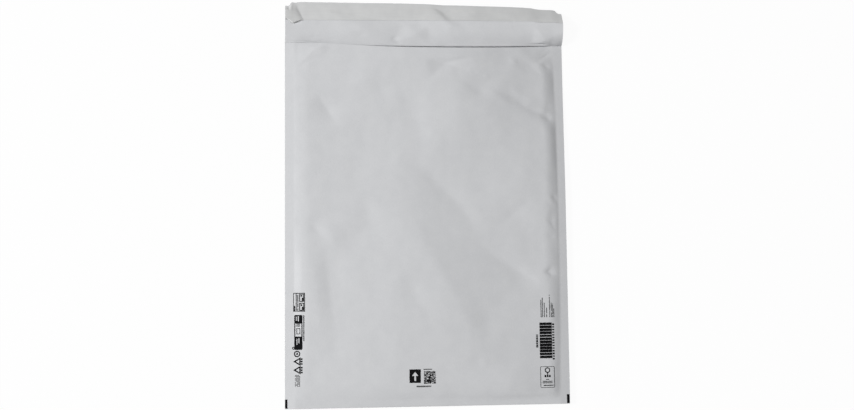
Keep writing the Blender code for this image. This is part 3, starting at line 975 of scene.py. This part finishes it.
def block_tree():
    """Rows and columns of small rectangles, some left out and some narrower, as fine print."""
    sockets = [("Columns", "Int", 4), ("Rows", "Int", 4), ("Seed", "Int", 1), ("Keep", "Float", 1.0)]
    sockets += [(name, "Float", 0.001) for name in ("Column Pitch", "Row Pitch", "Width", "Height")]
    sockets += [(name, "Float", 0.0) for name in ("Width Spread", "Height Spread")]
    nodes = Repeat("print_blocks", sockets)
    source = nodes.source
    step = nodes.vector(source["Column Pitch"], 0.0, 0.0)
    across = nodes.out("GeometryNodeMeshLine", Count=source["Columns"], Offset=step)
    step = nodes.vector(0.0, source["Row Pitch"], 0.0)
    up = nodes.out("GeometryNodeMeshLine", Count=source["Rows"], Offset=step)
    lattice = nodes.out("GeometryNodeInstanceOnPoints", Points=up, Instance=across)
    spots = nodes.out("GeometryNodeRealizeInstances", lattice)
    block = nodes.out("GeometryNodeMeshGrid", Size_X=1.0, Size_Y=1.0, Vertices_X=2, Vertices_Y=2)
    kept = nodes.add(
        "FunctionNodeRandomValue", data_type="BOOLEAN", Probability=source["Keep"], Seed=source["Seed"],
    )
    sizes = []
    for i, name in enumerate(("Width", "Height")):
        seed = nodes.math("ADD", source["Seed"], i + 1.0)
        chance = nodes.add("FunctionNodeRandomValue", data_type="FLOAT", Seed=seed)
        nodes.feed(chance.inputs[2], nodes.math("SUBTRACT", 1.0, source[name + " Spread"]))
        nodes.feed(chance.inputs[3], 1.0)
        sizes.append(nodes.math("MULTIPLY", source[name], chance.outputs[1]))
    copies = nodes.out(
        "GeometryNodeInstanceOnPoints",
        Points=spots, Selection=kept.outputs[3], Instance=block, Scale=nodes.vector(*sizes, 1.0),
    )
    return nodes.end(copies)


def print_blocks(x, along, columns, rows, column_pitch, row_pitch, width, height, **more):
    """A flat mesh of blocks whose lower left one is centred at (x, along)."""
    carrier = add_object("blocks", bpy.data.meshes.new("blocks"))
    run_tree(
        carrier, BLOCKS, columns=columns, rows=rows, column_pitch=column_pitch, row_pitch=row_pitch,
        width=width, height=height, material=INK, **more,
    )
    mesh = evaluated_mesh(carrier)
    bpy.data.objects.remove(carrier)
    for vertex in mesh.vertices:
        vertex.co.x += x
        vertex.co.y += along
    return mesh


def print_shape(*loops):
    """A flat mesh filled between closed outlines. A loop inside another is a hole."""
    curve = bpy.data.curves.new("shape", "CURVE")
    curve.dimensions = "2D"
    curve.fill_mode = "BOTH"
    for loop in loops:
        spline = curve.splines.new("POLY")
        spline.points.add(len(loop) - 1)
        for point, (x, y) in zip(spline.points, loop):
            point.co = (x, y, 0.0, 1.0)
        spline.use_cyclic_u = True
    carrier = add_object("shape", curve)
    mesh = evaluated_mesh(carrier)
    bpy.data.objects.remove(carrier)
    bpy.data.curves.remove(curve)
    return mesh


def box_loop(x0, y0, x1, y1, radius=0.0):
    """Outline of a rectangle with rounded corners."""
    if radius <= 0:
        return [(x0, y0), (x1, y0), (x1, y1), (x0, y1)]
    loop = []
    centres = ((x1 - radius, y0 + radius), (x1 - radius, y1 - radius))
    centres += ((x0 + radius, y1 - radius), (x0 + radius, y0 + radius))
    for quarter, (cx, cy) in enumerate(centres):
        for i in range(ROUND_STEPS + 1):
            angle = math.radians(-90 + 90 * quarter + 90 * i / ROUND_STEPS)
            loop.append((cx + radius * math.cos(angle), cy + radius * math.sin(angle)))
    return loop


def round_loop(x, y, radius, sides=24, turn=0.0):
    """Outline of a regular figure, which is round by default."""
    angles = [math.radians(turn) + 2 * math.pi * i / sides for i in range(sides)]
    return [(x + radius * math.cos(angle), y + radius * math.sin(angle)) for angle in angles]


def print_box(x0, y0, x1, y1):
    return print_shape(box_loop(x0, y0, x1, y1))


def print_frame(x0, y0, x1, y1, stroke, radius=0.0):
    """A rectangle in outline, its stroke inside it."""
    inner = box_loop(x0 + stroke, y0 + stroke, x1 - stroke, y1 - stroke, max(radius - stroke, 0.0))
    return print_shape(box_loop(x0, y0, x1, y1, radius), inner)


def print_ring(x, y, outer, inner, sides=24, turn=0.0):
    return print_shape(round_loop(x, y, outer, sides, turn), round_loop(x, y, inner, sides, turn))


def dice(mesh, step):
    """Cuts a flat bmesh by lines a step apart both ways, so that it can bend."""
    for axis in range(2):
        values = [vertex.co[axis] for vertex in mesh.verts]
        normal = Vector((1.0 - axis, float(axis), 0.0))
        for i in range(math.floor(min(values) / step) + 1, math.ceil(max(values) / step)):
            geometry = list(mesh.verts) + list(mesh.edges) + list(mesh.faces)
            bmesh.ops.bisect_plane(mesh, geom=geometry, plane_co=normal * (i * step), plane_no=normal)


def ink_piece(name, *flats, shift=0.0):
    """Lays flat print on the front panel, shift to the right, as ink that follows the paper."""
    mesh = bmesh.new()
    for flat in flats:
        mesh.from_mesh(flat)
        bpy.data.meshes.remove(flat)
    bmesh.ops.remove_doubles(mesh, verts=mesh.verts, dist=TINY)
    dice(mesh, INK_CELL)
    spots = np.array([vertex.co[:] for vertex in mesh.verts])
    placed = front_points(spots[:, 0] + shift, spots[:, 1], -INK_LIFT)
    for vertex, point in zip(mesh.verts, placed):
        vertex.co = point
    bmesh.ops.recalc_face_normals(mesh, faces=mesh.faces)
    for face in mesh.faces:
        if face.normal.z < 0:
            face.normal_flip()
    data = bpy.data.meshes.new(name)
    mesh.to_mesh(data)
    mesh.free()
    dress(thicken(add_object(name, data), INK_THICK, 1.0), INK)


def build_registration_marks():
    """Black bars at both ends of the bottom fold, by which the web was cut."""
    left = print_box(-0.1449, 0.0006, -0.1425, 0.0096)
    right = print_box(0.1417, 0.0006, 0.1445, 0.0096)
    ink_piece("print_registration_marks", left, right)


def build_left_column():
    """Handling marks up the left side: two outlined panels, plain symbols and fine lines."""
    panel = [
        print_frame(-0.1372, 0.0972, -0.1254, 0.1160, 0.0006),
        print_box(-0.1366, 0.0976, -0.1354, 0.1030),
        print_blocks(
            -0.1342, 0.0985, 2, 22, 0.0016, 0.0008, 0.0014, 0.0006, keep=0.9, width_spread=0.3, seed=4,
        ),
        print_frame(-0.1312, 0.0980, -0.1262, 0.1060, 0.0009),
        print_frame(-0.1312, 0.1070, -0.1262, 0.1152, 0.0009),
        print_shape(round_loop(-0.1290, 0.1036, 0.0009)),
        print_box(-0.1286, 0.0990, -0.1272, 0.1020),
        print_shape(round_loop(-0.1290, 0.1130, 0.0009)),
        print_box(-0.1286, 0.1080, -0.1272, 0.1112),
    ]
    badge = [
        print_shape(
            box_loop(-0.1362, 0.0588, -0.1280, 0.0938, 0.0012),
            box_loop(-0.1352, 0.0722, -0.1290, 0.0852),
            box_loop(-0.1346, 0.0880, -0.1338, 0.0922),
            box_loop(-0.1326, 0.0874, -0.1316, 0.0928),
            box_loop(-0.1340, 0.0640, -0.1332, 0.0700),
            box_loop(-0.1320, 0.0655, -0.1310, 0.0706),
        ),
        print_blocks(-0.1336, 0.0824, 3, 4, 0.0013, 0.0008, 0.0012, 0.0006, width_spread=0.3, seed=8),
        print_frame(-0.1340, 0.0745, -0.1302, 0.0805, 0.0007),
        print_ring(-0.1370, 0.0606, 0.0014, 0.0006),
    ]
    line = print_blocks(-0.1266, 0.0680, 1, 26, 0.001, 0.001, 0.0012, 0.0009, width_spread=0.3, seed=3)
    ring = [
        print_ring(-0.1334, 0.0548, 0.0032, 0.0021),
        print_shape(round_loop(-0.1334, 0.0548, 0.0016, 3, 90.0)),
    ]
    note = print_blocks(
        -0.1352, 0.0225, 5, 12, 0.0011, 0.001, 0.0006, 0.0009, keep=0.9, height_spread=0.3, seed=6,
    )
    ink_piece("print_handling_panel", *panel, shift=LEFT_COLUMN_SHIFT)
    ink_piece("print_badge", *badge, shift=LEFT_COLUMN_SHIFT)
    ink_piece("print_side_line", line, shift=LEFT_COLUMN_SHIFT)
    ink_piece("print_ring", *ring, shift=LEFT_COLUMN_SHIFT)
    for name, along in (("print_triangle_upper", 0.0472), ("print_triangle_lower", 0.0387)):
        triangle = print_ring(-0.1324, along, 0.0050, 0.0024, 3, 180.0)
        bars = print_blocks(-0.1288, along - 0.0024, 1, 3, 0.001, 0.0024, 0.0018, 0.0016)
        ink_piece(name, triangle, bars, shift=LEFT_COLUMN_SHIFT)
    ink_piece("print_side_note", note, shift=LEFT_COLUMN_SHIFT)


def build_middle_block():
    """In the middle above the fold: a plain block with an arrow, and a square of random cells."""
    arrow = [(-0.0152, 0.0262), (-0.0134, 0.0262), (-0.0134, 0.0312), (-0.0110, 0.0312)]
    arrow += [(-0.0143, 0.0352), (-0.0176, 0.0312), (-0.0152, 0.0312)]
    ink_piece("print_block", print_shape(box_loop(-0.0200, 0.0242, -0.0086, 0.0378), arrow))
    cells = print_blocks(-0.0051, 0.0235, 20, 21, 0.0006, 0.0006, 0.0006, 0.0006, keep=0.69, seed=11)
    ink_piece("print_cells", cells)
    above = print_blocks(-0.0054, 0.0376, 11, 1, 0.0008, 0.001, 0.0007, 0.0009, width_spread=0.2, seed=2)
    below = print_blocks(
        -0.0123, 0.0206, 12, 1, 0.00125, 0.001, 0.0012, 0.0014, keep=0.92, width_spread=0.3, seed=5,
    )
    ink_piece("print_block_lines", above, below)


def build_right_column():
    """Notes, a bar pattern and a label outline down the right side."""
    notes = []
    for seed, width, lines in (
        (20, 0.0011, ((0.1160, 18), (0.1176, 20), (0.1195, 15), (0.1218, 10))),
        (30, 0.0010, ((0.1250, 23), (0.1268, 15), (0.1281, 14), (0.1294, 9))),
    ):
        for i, (x, count) in enumerate(lines):
            more = {"keep": 0.95, "width_spread": 0.4, "seed": seed + i}
            notes.append(print_blocks(x, 0.0888, 1, count, 0.001, 0.001, width, 0.0008, **more))
    ink_piece("print_notes", *notes)
    bars = [
        print_blocks(0.1205, 0.0480, 1, 12, 0.001, 0.00306, 0.0128, 0.0030, height_spread=0.26, seed=9),
        print_blocks(0.1284, 0.0460, 1, 14, 0.001, 0.0027, 0.0022, 0.0018, height_spread=0.3, seed=7),
    ]
    ink_piece("print_bar_pattern", *bars)
    count = print_blocks(0.1114, 0.0584, 1, 8, 0.001, 0.0017, 0.0021, 0.0015, height_spread=0.4, seed=12)
    ink_piece("print_count", count)
    label = [
        print_frame(0.1140, 0.0168, 0.1290, 0.0384, 0.0005, 0.0012),
        print_ring(0.1215, 0.0346, 0.0028, 0.0018),
        print_box(0.1209, 0.0300, 0.1221, 0.0319),
        print_blocks(0.1192, 0.0286, 3, 1, 0.0023, 0.001, 0.0017, 0.0024),
        print_blocks(0.1206, 0.0252, 2, 1, 0.0016, 0.001, 0.0014, 0.0008),
        print_blocks(0.1168, 0.0216, 8, 3, 0.0013, 0.0009, 0.0012, 0.0006, width_spread=0.3, seed=14),
        print_blocks(0.1166, 0.0192, 9, 1, 0.0013, 0.001, 0.0012, 0.0009, keep=0.9, seed=15),
    ]
    ink_piece("print_label", *label)


def build_floor():
    """A pale floor that reads as white to the camera and keeps the envelope's shadow."""
    mesh = bpy.data.meshes.new("floor")
    signs = ((-1, -1), (1, -1), (1, 1), (-1, 1))
    corners = [(x * FLOOR_REACH, y * FLOOR_REACH, FLOOR_LEVEL) for x, y in signs]
    mesh.from_pydata(corners, [], [(0, 1, 2, 3)])
    floor = add_object("floor", mesh)
    material = bpy.data.materials.new("floor_white")
    material.use_nodes = True
    material.node_tree.nodes.clear()
    nodes = Graph(material.node_tree)
    matt = nodes.out("ShaderNodeBsdfDiffuse", Color=(0.8, 0.8, 0.8, 1.0))
    glow = nodes.out("ShaderNodeEmission", Strength=1.0)
    path = nodes.add("ShaderNodeLightPath").outputs
    seen = nodes.math("MAXIMUM", path["Is Glossy Ray"], path["Is Transmission Ray"])
    seen = nodes.math("MAXIMUM", path["Is Camera Ray"], seen)
    mixed = nodes.out("ShaderNodeMixShader", nodes.math("MULTIPLY", seen, FLOOR_GLOW), matt, glow)
    nodes.add("ShaderNodeOutputMaterial", Surface=mixed)
    mesh.materials.append(material)


def build_world():
    """Soft light that is strongest overhead, and plain white behind everything."""
    world = bpy.data.worlds.new("studio")
    bpy.context.scene.world = world
    world.use_nodes = True
    nodes = Graph(world.node_tree)
    direction = nodes.add("ShaderNodeTexCoord").outputs["Generated"]
    height = nodes.math("MAXIMUM", nodes.add("ShaderNodeSeparateXYZ", direction).outputs[2], 0.0)
    overhead = nodes.math("MULTIPLY", nodes.math("POWER", height, 2.0), SKY_OVERHEAD)
    light = world.node_tree.nodes["Background"]
    nodes.feed(light.inputs["Color"], (1.0, 1.0, 1.0, 1.0))
    nodes.feed(light.inputs["Strength"], nodes.math("ADD", overhead, SKY_LEAST))
    white = nodes.out("ShaderNodeBackground", Color=(1.0, 1.0, 1.0, 1.0))
    seen = nodes.add("ShaderNodeLightPath").outputs["Is Camera Ray"]
    mixed = nodes.out("ShaderNodeMixShader", seen, light.outputs[0], white)
    nodes.feed(world.node_tree.nodes["World Output"].inputs["Surface"], mixed)


def build_lamp():
    """One soft lamp on the left, about 33 degrees above the floor, that rakes over the paper."""
    lamp = bpy.data.lights.new("key", "AREA")
    lamp.shape = "DISK"
    lamp.size = LAMP_SIZE
    lamp.energy = LAMP_WATTS
    obj = add_object("key", lamp)
    obj.location = LAMP_PLACE
    obj.rotation_euler = (-Vector(LAMP_PLACE)).to_track_quat("-Z", "Y").to_euler()


def build_camera():
    """Above the envelope, a little left of and below its middle."""
    camera = bpy.data.cameras.new("camera")
    camera.sensor_width = 36.0
    camera.lens = CAMERA_LENS
    camera.clip_start = 0.05
    camera.clip_end = 20.0
    obj = add_object("camera", camera)
    obj.location = CAMERA_PLACE
    obj.rotation_euler = CAMERA_TURN
    bpy.context.scene.camera = obj


bpy.context.scene.view_settings.view_transform = "Standard"
INK = print_ink()
BLOCKS = block_tree()
PAPER_FINISH = white_paper()
FILM_FINISH = bubble_film()

build_camera()
build_lamp()
build_world()
build_floor()
paper_sheet = build_paper(PAPER_FINISH)
film_pouch = build_pouch(FILM_FINISH)
bubbles = build_bubbles(FILM_FINISH)
build_adhesive(seal_glue())
release_strip = build_release(release_paper())
build_registration_marks()
build_left_column()
build_middle_block()
build_right_column()
